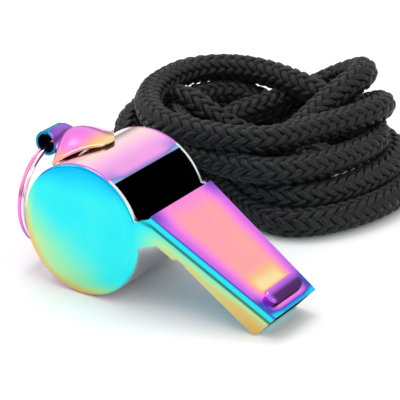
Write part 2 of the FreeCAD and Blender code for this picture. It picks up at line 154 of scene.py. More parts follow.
top_turn = [(-5.6, 58.0, 13.4), (-11.0, 58.9, 14.0), (-17.4, 60.5, 14.0), (-23.1, 60.2, 14.0),
            (-27.5, 57.8, 14.0), (-30.8, 53.4, 14.0), (-31.5, 47.8, 14.0), (-30.8, 40.9, 14.0),
            (-27.1, 33.9, 14.0), (-21.2, 28.8, 14.0), (-14.6, 28.2, 14.0), (-7.3, 29.2, 14.0),
            (-3.0, 31.1, 14.0), (0.1, 34.7, 14.0), (2.8, 42.1, 14.0), (5.8, 49.4, 14.2),
            (7.4, 55.8, 14.4), (5.6, 61.4, 13.2)]
inner_turn = [(0.4, 63.4, 10.6), (-5.4, 62.2, 8.2), (-11.0, 60.4, 6.8), (-16.6, 59.8, 7.8),
              (-22.0, 58.9, 9.6), (-26.2, 56.0, 9.9), (-28.2, 51.3, 9.9), (-27.9, 45.8, 9.8),
              (-25.4, 40.6, 9.8), (-20.6, 37.2, 9.8), (-14.6, 35.3, 9.8), (-8.6, 35.2, 9.9),
              (-3.6, 37.5, 10.4), (-1.5, 42.6, 11.9), (-0.8, 48.6, 14.2), (0.9, 54.6, 16.9),
              (1.8, 60.4, 18.0), (-0.8, 65.0, 17.2), (-6.0, 66.6, 14.4)]
last_turn = [(-10.4, 64.4, 11.6), (-13.0, 60.0, 10.6), (-16.0, 54.6, 9.6), (-19.2, 49.4, 9.0),
             (-19.4, 43.8, 6.0), (-15.4, 39.0, 3.0), (-8.6, 37.6, 2.6), (-1.6, 39.6, 2.6),
             (1.6, 45.6, 2.8), (-1.8, 51.2, 3.4), (-8.4, 51.2, 4.8), (-14.4, 46.6, 6.8),
             (-19.4, 44.0, 10.0), (-24.4, 44.2, 12.4), (-29.4, 45.4, 11.6)]
lead_back = [(-33.2, 42.8, 9.9), (-33.2, 37.4, 8.8), (-30.2, 32.2, 7.2), (-26.6, 27.8, 5.4),
             (-24.89, 22.6, 4.57), (-24.89, 17.6, 4.57)]
way = lead_out + first_turn + second_turn + third_turn
way = way + top_turn + inner_turn + last_turn + lead_back
print("points on the cord's way:", len(way))


def spline_of(name, points):
    data = bpy.data.curves.new(name, "CURVE")
    data.dimensions = "3D"
    data.resolution_u = 16
    spline = data.splines.new("NURBS")
    spline.points.add(len(points) - 1)
    for point, place in zip(spline.points, points):
        point.co = (place[0] * MM, place[1] * MM, place[2] * MM, 1.0)
    spline.order_u = 3
    spline.use_endpoint_u = True
    return data


core_data = spline_of("cord_core", way)
core = bpy.data.objects.new("cord_core", core_data)
scene.collection.objects.link(core)

# %% [markdown]
# ## The cord's own line
# The yarns have to follow the same smooth line as the spline. The line could be worked out from
# its points, but reading the finished spline back keeps yarns and core together in every bend.
# A direction and an upright are carried along it without twist, so the braid stays even.

# %% Read the spline's own line back, at even steps
STEP = 0.34 * MM
line_mesh = bpy.data.meshes.new_from_object(core)
raw_line = [v.co.copy() for v in line_mesh.vertices]
bpy.data.meshes.remove(line_mesh)


def even_steps(points, step):
    spread = [points[0].copy()]
    left = step
    for a, b in zip(points, points[1:]):
        run = (b - a).length
        gone = 0.0
        while run - gone >= left:
            gone += left
            spread.append(a.lerp(b, gone / run))
            left = step
        left -= run - gone
    return spread


def carried_frames(points):
    """A direction and an upright for every point, carried along without twist."""
    count = len(points)
    ways = []
    for i in range(count):
        a = points[max(i - 1, 0)]
        b = points[min(i + 1, count - 1)]
        ways.append((b - a).normalized())
    up = Vector((0.0, 0.0, 1.0))
    up = (up - ways[0] * up.dot(ways[0])).normalized()
    ups = [up]
    for a, b in zip(ways, ways[1:]):
        up = a.rotation_difference(b) @ up
        up = (up - b * up.dot(b)).normalized()
        ups.append(up)
    return ways, ups


cord_line = even_steps(raw_line, STEP)
cord_ways, cord_ups = carried_frames(cord_line)

# %% [markdown]
# ## Braiding
# A round braid has sixteen flat yarns: eight run clockwise and eight the other way, each over two
# and under two. Every yarn is a grid strip that is rolled into a tube and laid on its own helix.

# %% The sixteen yarns
BRAID_LEAD = 16.5 * MM
YARN_RADIUS = 1.84 * MM
YARN_WAVE = 0.31 * MM
YARN_HALF_WIDTH = 0.74 * MM
YARN_HALF_DEPTH = 0.47 * MM
YARN_SIDES = 6


def yarn(bm, uv_layer, hand, start_angle):
    """One yarn of the braid, added to the bmesh bm."""
    count = len(cord_line)
    middle = []
    outward = []
    for i in range(count):
        run = i * STEP
        angle = start_angle + hand * 2.0 * math.pi * run / BRAID_LEAD
        wave = YARN_WAVE * hand * math.cos(4.0 * angle)
        side = cord_ways[i].cross(cord_ups[i])
        out = cord_ups[i] * math.cos(angle) + side * math.sin(angle)
        outward.append(out)
        middle.append(cord_line[i] + out * (YARN_RADIUS + wave))
    made = bmesh.ops.create_grid(bm, x_segments=count - 1, y_segments=YARN_SIDES, size=1.0)
    strip = made["verts"]
    for vert in strip:
        i = round((vert.co.x + 1.0) * 0.5 * (count - 1))
        j = round((vert.co.y + 1.0) * 0.5 * YARN_SIDES)
        along = (middle[min(i + 1, count - 1)] - middle[max(i - 1, 0)]).normalized()
        out = outward[i]
        across = along.cross(out).normalized()
        lap = 2.0 * math.pi * j / YARN_SIDES
        place = middle[i] + across * (YARN_HALF_WIDTH * math.cos(lap))
        place = place + out * (YARN_HALF_DEPTH * math.sin(lap))
        for loop in vert.link_loops:
            loop[uv_layer].uv = (i * STEP / BRAID_LEAD, j / YARN_SIDES)
        vert.co = place
    bmesh.ops.remove_doubles(bm, verts=strip, dist=1e-6)


def yarn_group(name, hand, angles):
    mesh = bpy.data.meshes.new(name)
    bm = bmesh.new()
    uv_layer = bm.loops.layers.uv.new("yarn")
    for angle in angles:
        yarn(bm, uv_layer, hand, angle)
    ends = [e for e in bm.edges if e.is_boundary]
    bmesh.ops.holes_fill(bm, edges=ends, sides=YARN_SIDES)
    bmesh.ops.recalc_face_normals(bm, faces=bm.faces)
    for face in bm.faces:
        face.smooth = True
    bm.to_mesh(mesh)
    bm.free()
    piece = bpy.data.objects.new(name, mesh)
    scene.collection.objects.link(piece)
    return piece


def eighths(numbers, shift):
    return [math.radians(45.0 * k + shift) for k in numbers]


yarns = [yarn_group("cord_yarns_right_a", 1.0, eighths((0, 2, 4, 6), 22.5)),
         yarn_group("cord_yarns_right_b", 1.0, eighths((1, 3, 5, 7), 22.5)),
         yarn_group("cord_yarns_left_a", -1.0, eighths((0, 2, 4, 6), 0.0)),
         yarn_group("cord_yarns_left_b", -1.0, eighths((1, 3, 5, 7), 0.0))]
HEART_RADIUS = 1.78 * MM
for point in core_data.splines[0].points:
    point.radius = HEART_RADIUS
core_data.bevel_depth = 1.0
core_data.bevel_resolution = 3
core_data.resolution_u = 6
core_data.use_fill_caps = True
print("yarn faces:", sum(len(y.data.polygons) for y in yarns))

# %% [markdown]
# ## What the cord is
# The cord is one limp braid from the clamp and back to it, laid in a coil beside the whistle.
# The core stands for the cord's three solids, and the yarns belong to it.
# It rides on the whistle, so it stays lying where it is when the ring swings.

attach(core, "whistle")
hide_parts("cord_lead_out", "cord_lead_back", "cord_coil")
for piece in yarns:
    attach(piece, "whistle")
print("cord pieces:", [core.name] + [piece.name for piece in yarns])

# %% [markdown]
# ## Node helpers
# Every finish below is a small node tree. These helpers add a node, join sockets and wrap the
# steps that come up often, so each material reads as a short list of steps.

# %% Helpers for node trees
def node(tree, kind, **settings):
    made = tree.nodes.new(kind)
    for key, value in settings.items():
        setattr(made, key, value)
    return made


def feed(tree, target, value):
    """Join a socket to target, or set target's own value."""
    if isinstance(value, bpy.types.NodeSocket):
        tree.links.new(value, target)
    else:
        target.default_value = value


def math_node(tree, operation, a, b=0.0, c=0.0, clamp=False):
    made = node(tree, "ShaderNodeMath", operation=operation, use_clamp=clamp)
    feed(tree, made.inputs[0], a)
    feed(tree, made.inputs[1], b)
    feed(tree, made.inputs[2], c)
    return made.outputs[0]


def ranged(tree, value, low, high, to_low=0.0, to_high=1.0, smooth=True):
    made = node(tree, "ShaderNodeMapRange")
    made.interpolation_type = "SMOOTHSTEP" if smooth else "LINEAR"
    feed(tree, made.inputs["Value"], value)
    made.inputs["From Min"].default_value = low
    made.inputs["From Max"].default_value = high
    made.inputs["To Min"].default_value = to_low
    made.inputs["To Max"].default_value = to_high
    return made.outputs[0]


def ramp(tree, value, stops, mode="LINEAR"):
    made = node(tree, "ShaderNodeValToRGB")
    made.color_ramp.interpolation = mode
    elements = made.color_ramp.elements
    while len(elements) < len(stops):
        elements.new(0.5)
    for element, (place, colour) in zip(elements, stops):
        element.position = place
        element.color = (colour[0], colour[1], colour[2], 1.0)
    feed(tree, made.inputs[0], value)
    return made.outputs["Color"]


def mixed(tree, factor, first, second, mode="MIX"):
    made = node(tree, "ShaderNodeMix", data_type="RGBA", blend_type=mode)
    feed(tree, made.inputs[0], factor)
    for socket, value in ((made.inputs[6], first), (made.inputs[7], second)):
        if isinstance(value, tuple):
            value = (value[0], value[1], value[2], 1.0)
        feed(tree, socket, value)
    return made.outputs[2]


def mixed_value(tree, factor, first, second):
    made = node(tree, "ShaderNodeMix", data_type="FLOAT")
    feed(tree, made.inputs[0], factor)
    feed(tree, made.inputs[2], first)
    feed(tree, made.inputs[3], second)
    return made.outputs[0]


def noise(tree, vector, scale, detail=3.0, stretch=None):
    if stretch is not None:
        mapping = node(tree, "ShaderNodeMapping")
        feed(tree, mapping.inputs["Vector"], vector)
        mapping.inputs["Scale"].default_value = stretch
        vector = mapping.outputs[0]
    made = node(tree, "ShaderNodeTexNoise")
    feed(tree, made.inputs["Vector"], vector)
    made.inputs["Scale"].default_value = scale
    made.inputs["Detail"].default_value = detail
    return made.outputs["Fac"]


def new_group(name, inputs, outputs):
    tree = bpy.data.node_groups.new(name, "ShaderNodeTree")
    for label, kind in inputs:
        tree.interface.new_socket(label, in_out="INPUT", socket_type=kind)
    for label, kind in outputs:
        tree.interface.new_socket(label, in_out="OUTPUT", socket_type=kind)
    source = tree.nodes.new("NodeGroupInput")
    target = tree.nodes.new("NodeGroupOutput")
    return tree, source, target


def new_material(name):
    material = bpy.data.materials.new(name)
    material.use_nodes = True
    tree = material.node_tree
    shader = tree.nodes["Principled BSDF"]
    coords = tree.nodes.new("ShaderNodeTexCoord")
    return material, tree, shader, coords


def bump(tree, shader, height, distance, strength=1.0):
    made = node(tree, "ShaderNodeBump")
    made.inputs["Strength"].default_value = strength
    made.inputs["Distance"].default_value = distance
    feed(tree, made.inputs["Height"], height)
    tree.links.new(made.outputs["Normal"], shader.inputs["Normal"])


print("node helpers ready")

# %% [markdown]
# ## Yarn finish
# Polyester yarn is a bundle of fine black threads that twist along the yarn. A wave on the yarn's
# own UV map gives the threads, and a slow noise gives lighter and darker stretches.

# %% Black yarn and its dark core
def black_yarn(name):
    material, tree, shader, coords = new_material(name)
    wave = node(tree, "ShaderNodeTexWave", bands_direction="DIAGONAL")
    mapping = node(tree, "ShaderNodeMapping")
    tree.links.new(coords.outputs["UV"], mapping.inputs["Vector"])
    mapping.inputs["Scale"].default_value = (9.0, 3.0, 1.0)
    tree.links.new(mapping.outputs[0], wave.inputs["Vector"])
    wave.inputs["Scale"].default_value = 1.0
    wave.inputs["Distortion"].default_value = 1.5
    slow = noise(tree, coords.outputs["Object"], 220.0)
    fine = noise(tree, coords.outputs["Object"], 3500.0, 2.0)
    fuzz = math_node(tree, "MULTIPLY", fine, 0.2)
    fuzz = math_node(tree, "MULTIPLY_ADD", slow, 0.35, fuzz)
    thread = math_node(tree, "MULTIPLY_ADD", wave.outputs["Fac"], 0.45, fuzz)
    colour = ramp(tree, thread, [(0.15, (0.002, 0.002, 0.002)), (0.55, (0.006, 0.006, 0.007)),
                                 (0.9, (0.018, 0.018, 0.020))])
    tree.links.new(colour, shader.inputs["Base Color"])
    tree.links.new(ranged(tree, thread, 0.1, 0.9, 0.52, 0.36), shader.inputs["Roughness"])
    shader.inputs["Specular IOR Level"].default_value = 0.26
    shader.inputs["Sheen Weight"].default_value = 0.02
    shader.inputs["Sheen Roughness"].default_value = 0.4
    bump(tree, shader, thread, 0.00008, 0.7)
    return material


yarn_material = black_yarn("black_yarn")
for piece in yarns:
    piece.data.materials.append(yarn_material)
core_material, tree, shader, coords = new_material("cord_heart")
core_colour = ramp(tree, noise(tree, coords.outputs["Object"], 900.0),
                   [(0.3, (0.003, 0.003, 0.003)), (0.7, (0.010, 0.010, 0.011))])
tree.links.new(core_colour, shader.inputs["Base Color"])
shader.inputs["Roughness"].default_value = 0.9
shader.inputs["Specular IOR Level"].default_value = 0.05
core_data.materials.append(core_material)
print("yarn finish:", yarn_material.name, "core finish:", core_material.name)

# %% [markdown]
# ## Rainbow film on steel
# A thin film on polished steel shifts through straw, rose, violet, blue, cyan and green as its
# thickness grows. One group turns a film thickness from 0 to 1 into colour, and adds the faint
# polishing lines and small changes that a real film has.

# %% The film group
film, film_in, film_out = new_group(
    "rainbow_film",
    [("Thickness", "NodeSocketFloat"), ("Position", "NodeSocketVector")],
    [("Colour", "NodeSocketColor"), ("Roughness", "NodeSocketFloat"), ("Height", "NodeSocketFloat")])
FILM_STOPS = [(0.00, (0.80, 0.78, 0.82)), (0.08, (0.96, 0.80, 0.40)), (0.17, (0.96, 0.55, 0.26)),
              (0.27, (1.0, 0.38, 0.41)), (0.37, (0.97, 0.24, 0.78)), (0.46, (0.52, 0.13, 0.80)),
              (0.54, (0.06, 0.07, 0.42)), (0.62, (0.02, 0.26, 0.80)), (0.70, (0.006, 0.48, 0.88)),
              (0.78, (0.032, 0.77, 0.81)), (0.83, (0.13, 0.79, 0.64)), (0.875, (0.27, 0.78, 0.46)),
              (0.91, (0.46, 0.75, 0.35)), (0.95, (0.62, 0.60, 0.22)), (1.00, (0.80, 0.46, 0.14))]
cloud = noise(film, film_in.outputs["Position"], 90.0, 2.0)
lines = noise(film, film_in.outputs["Position"], 60.0, 4.0, (6.0, 90.0, 60.0))
thickness = math_node(film, "MULTIPLY_ADD", math_node(film, "SUBTRACT", cloud, 0.5), 0.07,
                      film_in.outputs["Thickness"])
thickness = math_node(film, "MULTIPLY_ADD", math_node(film, "SUBTRACT", lines, 0.5), 0.012, thickness)
film_colour = ramp(film, thickness, FILM_STOPS)
feed(film, film_out.inputs["Colour"], film_colour)
feed(film, film_out.inputs["Roughness"], ranged(film, lines, 0.2, 0.8, 0.10, 0.20))
feed(film, film_out.inputs["Height"], lines)


def film_material(name, thickness_of, shade_of=None, silver_of=None, bare=(0.86, 0.83, 0.87)):
    """A film finish. thickness_of(tree, x, y, z, normal) gives the film's thickness."""
    material, tree, shader, coords = new_material(name)
    place = node(tree, "ShaderNodeSeparateXYZ")
    facing = node(tree, "ShaderNodeSeparateXYZ")
    tree.links.new(coords.outputs["Object"], place.inputs[0])
    tree.links.new(coords.outputs["Normal"], facing.inputs[0])
    x, y, z = [math_node(tree, "MULTIPLY", s, 1000.0) for s in place.outputs]
    group = node(tree, "ShaderNodeGroup", node_tree=film)
    feed(tree, group.inputs["Thickness"], thickness_of(tree, x, y, z, facing.outputs))
    feed(tree, group.inputs["Position"], coords.outputs["Object"])
    colour = group.outputs["Colour"]
    rough = group.outputs["Roughness"]
    if silver_of is not None:
        mask = silver_of(tree, x, y, z, facing.outputs)
        colour = mixed(tree, mask, colour, bare)
    # Painted shade: where the shade mask is 1, the colour is mixed to near-black and the roughness is
    # raised.
    if shade_of is not None:
        mask = shade_of(tree, x, y, z, facing.outputs)
        colour = mixed(tree, mask, colour, (0.004, 0.004, 0.005))
        rough = math_node(tree, "MULTIPLY_ADD", mask, 0.6, rough)
    tree.links.new(colour, shader.inputs["Base Color"])
    tree.links.new(rough, shader.inputs["Roughness"])
    shader.inputs["Metallic"].default_value = 1.0
    bump(tree, shader, group.outputs["Height"], 0.00001, 0.25)
    return material


BARREL_X = -9.654
BARREL_Z = 11.0
PLATE_LEVEL = 10.8
PLATE_NORMAL_X = 0.5004
PLATE_NORMAL_Z = 0.8658
PLATE_START_X = 2.5
PLATE_START_Z = 16.2


def from_axis(tree, x, z):
    """Distance from the barrel's axis."""
    dx = math_node(tree, "SUBTRACT", x, BARREL_X)
    dz = math_node(tree, "SUBTRACT", z, BARREL_Z)
    squares = math_node(tree, "ADD", math_node(tree, "MULTIPLY", dx, dx),
                        math_node(tree, "MULTIPLY", dz, dz))
    return math_node(tree, "SQRT", squares)


def below_plate(tree, x, z):
    """Depth under the sloping top plate."""
    slope = math_node(tree, "MULTIPLY", math_node(tree, "SUBTRACT", x, BARREL_X), PLATE_NORMAL_X)
    rise = math_node(tree, "MULTIPLY", math_node(tree, "SUBTRACT", z, BARREL_Z), PLATE_NORMAL_Z)
    return math_node(tree, "SUBTRACT", PLATE_LEVEL, math_node(tree, "ADD", slope, rise))


def along_plate(tree, x, z):
    """Way along the top plate from the window to the mouth."""
    level = math_node(tree, "MULTIPLY", math_node(tree, "SUBTRACT", x, PLATE_START_X), 0.866)
    drop = math_node(tree, "MULTIPLY", math_node(tree, "SUBTRACT", z, PLATE_START_Z), -0.5)
    return math_node(tree, "ADD", level, drop)


print("film stops:", len(FILM_STOPS))

# %% [markdown]
# ## Side plates
# Each side is one pressed sheet: a disc over the barrel's end that runs into the mouthpiece's
# cheek. The imported sheets keep their shape and only get a finish, which follows the distance from
# the barrel's axis and the depth under the top plate. The real cheek has a crease pressed along
# it. Here the sheet is flat and the crease is only a dark line of painted shade in the finish, and
# the sheet's inner faces are painted near-black as shade.

# %% Side plates: cyan disc, green and straw along the lower edge
CHEEK_CREASE = 1.55


def side_film(tree, x, y, z, facing):
    across = math_node(tree, "SUBTRACT", x, BARREL_X)
    rise = math_node(tree, "SUBTRACT", z, BARREL_Z)
    lean = math_node(tree, "MULTIPLY_ADD", across, -0.6, math_node(tree, "MULTIPLY", rise, -0.8))
    high = ranged(tree, rise, 5.0, 10.5, 0.0, -0.08)
    low = ranged(tree, lean, 1.0, 9.5, 0.0, 0.125)
    disc = math_node(tree, "ADD", math_node(tree, "ADD", high, low), 0.785)
    rim = ranged(tree, from_axis(tree, x, z), 9.0, 11.0, 0.0, 1.0)
    edge = math_node(tree, "MULTIPLY", rim, ranged(tree, lean, -2.0, 6.0, -0.02, 0.09))
    disc = math_node(tree, "ADD", disc, edge)
    depth = below_plate(tree, x, z)
    strip = ranged(tree, depth, 0.15, 0.55, 0.54, 0.765)
    below = ranged(tree, depth, 1.2, 3.6, 0.06, 0.18)
    step = ranged(tree, depth, CHEEK_CREASE - 0.4, CHEEK_CREASE)
    cheek = math_node(tree, "MULTIPLY_ADD", step, below, strip)
    slide = math_node(tree, "ADD", ranged(tree, x, 2.0, 7.0, -0.05, 0.0),
                      ranged(tree, x, 13.0, 22.0, 0.0, 0.05))
    cheek = math_node(tree, "MULTIPLY_ADD", step, slide, cheek)
    mouth = ranged(tree, x, -0.5, 4.5)
    flat = mixed_value(tree, mouth, disc, cheek)
    cut = ranged(tree, math_node(tree, "ABSOLUTE", facing[1]), 0.5, 0.3)
    cut = math_node(tree, "MULTIPLY", cut, ranged(tree, x, 1.0, -1.0))
    return mixed_value(tree, cut, flat, 0.40)


def side_shade(tree, x, y, z, facing):
    """Painted shade: the inner faces made near-black, and a dark line for the shade in the crease
    along the cheek.
    """
    inward = math_node(tree, "MULTIPLY", y, facing[1])
    inside = ranged(tree, inward, -0.5, -1.5)
    depth = below_plate(tree, x, z)
    away = math_node(tree, "ABSOLUTE", math_node(tree, "SUBTRACT", depth, CHEEK_CREASE))
    crease = ranged(tree, away, 0.50, 0.05, 0.0, 0.72)
    crease = math_node(tree, "MULTIPLY", crease, ranged(tree, x, -0.5, 4.0))
    return math_node(tree, "MAXIMUM", inside, crease)


def side_rim(tree, x, y, z, facing):
    """The sheet's cut edge at the window, which is bare metal."""
    edge = ranged(tree, math_node(tree, "ABSOLUTE", facing[1]), 0.5, 0.3)
    window = ranged(tree, x, -4.6, -4.2)
    return math_node(tree, "MULTIPLY", edge, window)


side_material = film_material("film_side", side_film, shade_of=side_shade, silver_of=side_rim)
print("side finish:", side_material.name)

# %% [markdown]
# ## Barrel band
# The band is one strip rolled round the barrel between the two discs. Its outside is straw by the
# lug, rose on the crown and light blue at the window, and a painted highlight mixes the crown towards
# near-white, most by the lug. Towards the bottom it turns to bare steel, darkened there as painted
# shade. Its inside is painted near-black as shade, because hardly any light reaches the chamber.

# %% Barrel band: straw by the lug, rose on the crown, light blue at the window
def band_film(tree, x, y, z, facing):
    reach = math_node(tree, "ABSOLUTE", y)
    crown = ranged(tree, x, -12.0, -6.0, 0.24, 0.385)
    window = ranged(tree, x, -4.7, -3.5, 0.0, 0.17)
    corner = math_node(tree, "MULTIPLY", ranged(tree, x, -7.0, -3.8), ranged(tree, reach, 5.0, 8.8))
    total = math_node(tree, "ADD", crown, window)
    return math_node(tree, "MULTIPLY_ADD", corner, 0.13, total)


def band_shade(tree, x, y, z, facing):
    # Painted shade: the band's inside is made near-black, and its lower part is darkened by up to
    # 0.45.
    inside = ranged(tree, from_axis(tree, x, z), 10.72, 10.62)
    under = ranged(tree, z, 13.0, 6.0, 0.0, 0.45)
    return math_node(tree, "MAXIMUM", inside, under)


def band_highlight_and_bare(tree, x, y, z, facing):
    """Painted highlight: the crown is mixed towards near-white, most by the lug; towards the bottom
    the band turns to bare steel.
    """
    crown = ranged(tree, x, -4.5, -12.0, 0.20, 0.66)
    return math_node(tree, "MAXIMUM", crown, ranged(tree, z, 14.0, 9.0))


# The near-white given as bare is a painted highlight on the crown and stands for bare steel towards
# the bottom.
band_material = film_material("film_band", band_film, shade_of=band_shade, silver_of=band_highlight_and_bare,
                              bare=(1.0, 0.92, 0.93))
print("band finish:", band_material.name)

# %% [markdown]
# ## Top plate
# The plate is the roof of the windway, and the raised bead near its end gives the teeth a hold.
# The film changes both along the plate and across it, so both measures feed its thickness, and
# the bead is told from the plate by its height alone.

# %% Top plate: rose edges, salmon middle, violet and cyan at the mouth
PLATE_HALF_WIDTH = 8.45
PLATE_TAPER = -0.097


def bead_mask(tree, x, z):
    """The raised bead is all that stands above the plate."""
    return ranged(tree, below_plate(tree, x, z), -0.12, -0.28)


def plate_film(tree, x, y, z, facing):
    along = along_plate(tree, x, z)
    half = math_node(tree, "MULTIPLY_ADD", along, PLATE_TAPER, PLATE_HALF_WIDTH)
    reach = math_node(tree, "DIVIDE", math_node(tree, "ABSOLUTE", y), half)
    edge = ranged(tree, reach, 0.45, 0.98, 0.0, 0.17)
    start = ranged(tree, along, 4.5, 0.0, 0.0, 0.09)
    glow = ranged(tree, along, 15.5, 19.6, 0.0, -0.19)
    glow = math_node(tree, "MULTIPLY", glow, ranged(tree, reach, 0.8, 0.35))
    glow = math_node(tree, "MULTIPLY", glow, ranged(tree, along, 21.0, 20.0))
    nose = ranged(tree, along, 19.5, 22.5, 0.0, 0.11)
    end = ranged(tree, along, 23.7, 24.9, 0.0, 0.30)
    total = math_node(tree, "ADD", math_node(tree, "ADD", edge, start), 0.27)
    total = math_node(tree, "ADD", total, nose)
    total = math_node(tree, "ADD", total, math_node(tree, "ADD", glow, end))
    total = math_node(tree, "MINIMUM", total, 0.74)
    bead = ranged(tree, along, 19.8, 21.6, 0.36, 0.46)
    total = mixed_value(tree, bead_mask(tree, x, z), total, bead)
    cut = ranged(tree, math_node(tree, "ABSOLUTE", facing[1]), 0.5, 0.8)
    side = ranged(tree, below_plate(tree, x, z), 0.15, 0.55, 0.53, 0.765)
    cut = math_node(tree, "MULTIPLY", cut, ranged(tree, below_plate(tree, x, z), -0.10, 0.0))
    return mixed_value(tree, cut, total, side)


def plate_shade(tree, x, y, z, facing):
    """Painted shade: the underside, and the steep front of the bead."""
    under = ranged(tree, facing[2], -0.2, -0.5)
    along = along_plate(tree, x, z)
    steep = ranged(tree, along, 21.2, 22.3, 0.0, 0.8)
    front = math_node(tree, "MULTIPLY", bead_mask(tree, x, z), steep)
    front = math_node(tree, "MULTIPLY", front, ranged(tree, y, -4.4, -3.4))
    return math_node(tree, "MAXIMUM", under, front)


plate_material = film_material("film_plate", plate_film, shade_of=plate_shade)
print("plate finish:", plate_material.name)

# %% [markdown]
# ## Windway floor
# The floor is a bent strip under the top plate that leads the breath to the window. Mostly its
# underside shows, so its film follows the depth under the plate, and its upper side, inside the
# windway, is painted near-black as shade.

# %% Windway floor
def floor_film(tree, x, y, z, facing):
    return ranged(tree, below_plate(tree, x, z), 1.0, 8.0, 0.60, 1.0, smooth=False)


def windway_shade(tree, x, y, z, facing):
    # Painted shade: faces turned up, inside the windway, are made near-black.
    return ranged(tree, facing[2], 0.1, 0.3)


windway_material = film_material("film_windway", floor_film, shade_of=windway_shade)
print("windway finish:", windway_material.name)

# %% [markdown]
# ## Finish of the lug
# The leaf, the eye and the foot share one finish, which follows the way from the eye to the
# leaf's tip. The fold in front of the eye and the underside are darkened, as light hardly gets
# there.

# %% Finish of the lug
EYE_X = -21.94
EYE_Z = 20.36


def from_eye(tree, x, z):
    dx = math_node(tree, "SUBTRACT", x, EYE_X)
    dz = math_node(tree, "SUBTRACT", z, EYE_Z)
    return math_node(tree, "SQRT", math_node(tree, "ADD", math_node(tree, "MULTIPLY", dx, dx),
                                             math_node(tree, "MULTIPLY", dz, dz)))


def lug_film(tree, x, y, z, facing):
    back = ranged(tree, x, -21.0, -17.5, 0.50, 0.385)
    front = ranged(tree, x, -15.5, -11.0, 0.0, -0.26)
    edge = ranged(tree, math_node(tree, "ABSOLUTE", y), 4.0, 7.5, 0.0, -0.16)
    total = math_node(tree, "ADD", math_node(tree, "ADD", back, front), edge)
    rolled = ranged(tree, from_eye(tree, x, z), 2.35, 2.15)
    return mixed_value(tree, rolled, total, 0.68)


def lug_shade(tree, x, y, z, facing):
    """Painted shade: the inside of the eye, the fold in front of it and the leaf's underside."""
    hole = ranged(tree, from_eye(tree, x, z), 1.66, 1.60)
    fold = ranged(tree, math_node(tree, "ABSOLUTE", math_node(tree, "SUBTRACT", x, -19.5)), 1.2, 0.1,
                  0.0, 0.75)
    rolled = ranged(tree, from_eye(tree, x, z), 2.25, 2.1, 0.0, 0.45)
    fold = math_node(tree, "MAXIMUM", fold, rolled)
    under = ranged(tree, facing[2], -0.1, -0.4, 0.0, 0.8)
    return math_node(tree, "MAXIMUM", math_node(tree, "MAXIMUM", hole, fold), under)


lug_material = film_material("film_lug", lug_film, shade_of=lug_shade)
print("lug finish:", lug_material.name)

# %% [markdown]
# ## Finish of the key ring
# The wire is wound twice, and its two coils have different colours: the one nearer the whistle is
# bare steel and the other has the film. The place along the ring's axis is enough to part them.

# %% Finish of the key ring
def ring_film(tree, x, y, z, facing):
    return ranged(tree, z, 2.0, 19.0, 0.44, 0.30)


def ring_bare(tree, x, y, z, facing):
    return ranged(tree, x, -22.36, -22.30)


ring_material = film_material("film_ring", ring_film, silver_of=ring_bare)
print("ring finish:", ring_material.name)

# %% [markdown]
# ## Finish of the clamp
# The clamp is a plain sleeve pressed round both ends of the cord, behind the barrel. Nothing of
# it shows from the front, so it is given a mostly bare metal.

# %% Finish of the clamp
def clamp_film(tree, x, y, z, facing):
    return ranged(tree, z, 1.0, 8.0, 0.5, 0.3)


def clamp_bare(tree, x, y, z, facing):
    return 0.8


clamp_material = film_material("brushed_clamp", clamp_film, silver_of=clamp_bare)
print("clamp finish:", clamp_material.name)

# %% [markdown]
# ## Lug
# The lug is one strip of sheet: a crowned leaf that lies over the barrel, draws in behind its two
# corners and rolls up into an eye for the ring. The leaf is a grid whose rows are moved onto the
# barrel's curve and then thickened, because its crown and corners change from row to row.

# %% The leaf of the lug
BARREL_CENTRE = Vector((BARREL_X, 0.0, BARREL_Z))
BARREL_RADIUS = 11.0
LEAF_SHEET = 0.62
# Each row: angle round the barrel, half width, rise of the middle, rise of the edges.
LEAF_ROWS = [(95.9, 0.4, 0.30, 0.28), (96.4, 1.1, 0.40, 0.34), (97.8, 1.8, 0.55, 0.42),
             (101.0, 2.6, 0.80, 0.50), (105.0, 3.4, 1.05, 0.58), (110.0, 4.6, 1.50, 0.60),
             (115.5, 6.0, 2.20, 0.50), (121.0, 7.4, 3.15, 0.35), (125.5, 8.4, 3.85, 0.15),
             (128.5, 7.7, 3.75, 0.10), (131.0, 5.2, 3.60, 0.90), (133.0, 3.4, 4.00, 2.70),
             (135.0, 2.5, 5.00, 4.85), (137.2, 2.3, 5.75, 5.70)]
LEAF_COLUMNS = 14


def smooth_piece(name, bm, material, body):
    bmesh.ops.recalc_face_normals(bm, faces=bm.faces)
    for face in bm.faces:
        face.smooth = True
    mesh = bpy.data.meshes.new(name)
    bm.to_mesh(mesh)
    bm.free()
    mesh.materials.append(material)
    piece = bpy.data.objects.new(name, mesh)
    scene.collection.objects.link(piece)
    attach(piece, body)
    return piece


def on_barrel(angle, rise, side):
    way = math.radians(angle)
    out = BARREL_RADIUS + rise
    return BARREL_CENTRE + Vector((out * math.cos(way), side, out * math.sin(way)))


leaf_bm = bmesh.new()
bmesh.ops.create_grid(leaf_bm, x_segments=len(LEAF_ROWS) - 1, y_segments=LEAF_COLUMNS, size=1.0)
for vert in leaf_bm.verts:
    row = round((vert.co.x + 1.0) * 0.5 * (len(LEAF_ROWS) - 1))
    share = vert.co.y
    angle, half, middle, edge = LEAF_ROWS[row]
    crown = math.cos(share * math.pi * 0.5) ** 1.3
    vert.co = on_barrel(angle, edge + (middle - edge) * crown, half * share) * MM
lug_leaf = smooth_piece("lug_leaf", leaf_bm, lug_material, "whistle")
leaf_wall = lug_leaf.modifiers.new("wall", "SOLIDIFY")
leaf_wall.thickness = LEAF_SHEET * MM
leaf_wall.offset = 0.0
leaf_round = lug_leaf.modifiers.new("round", "SUBSURF")
leaf_round.levels = 2
leaf_round.render_levels = 2
print("leaf rows:", len(LEAF_ROWS))

# %% [markdown]
# ## Eye of the lug
# The strip's end is rolled into an open tube that holds the ring. A flat section is spun most of
# the way round the eye's axis, which leaves the roll's narrow gap, and its edges are eased.

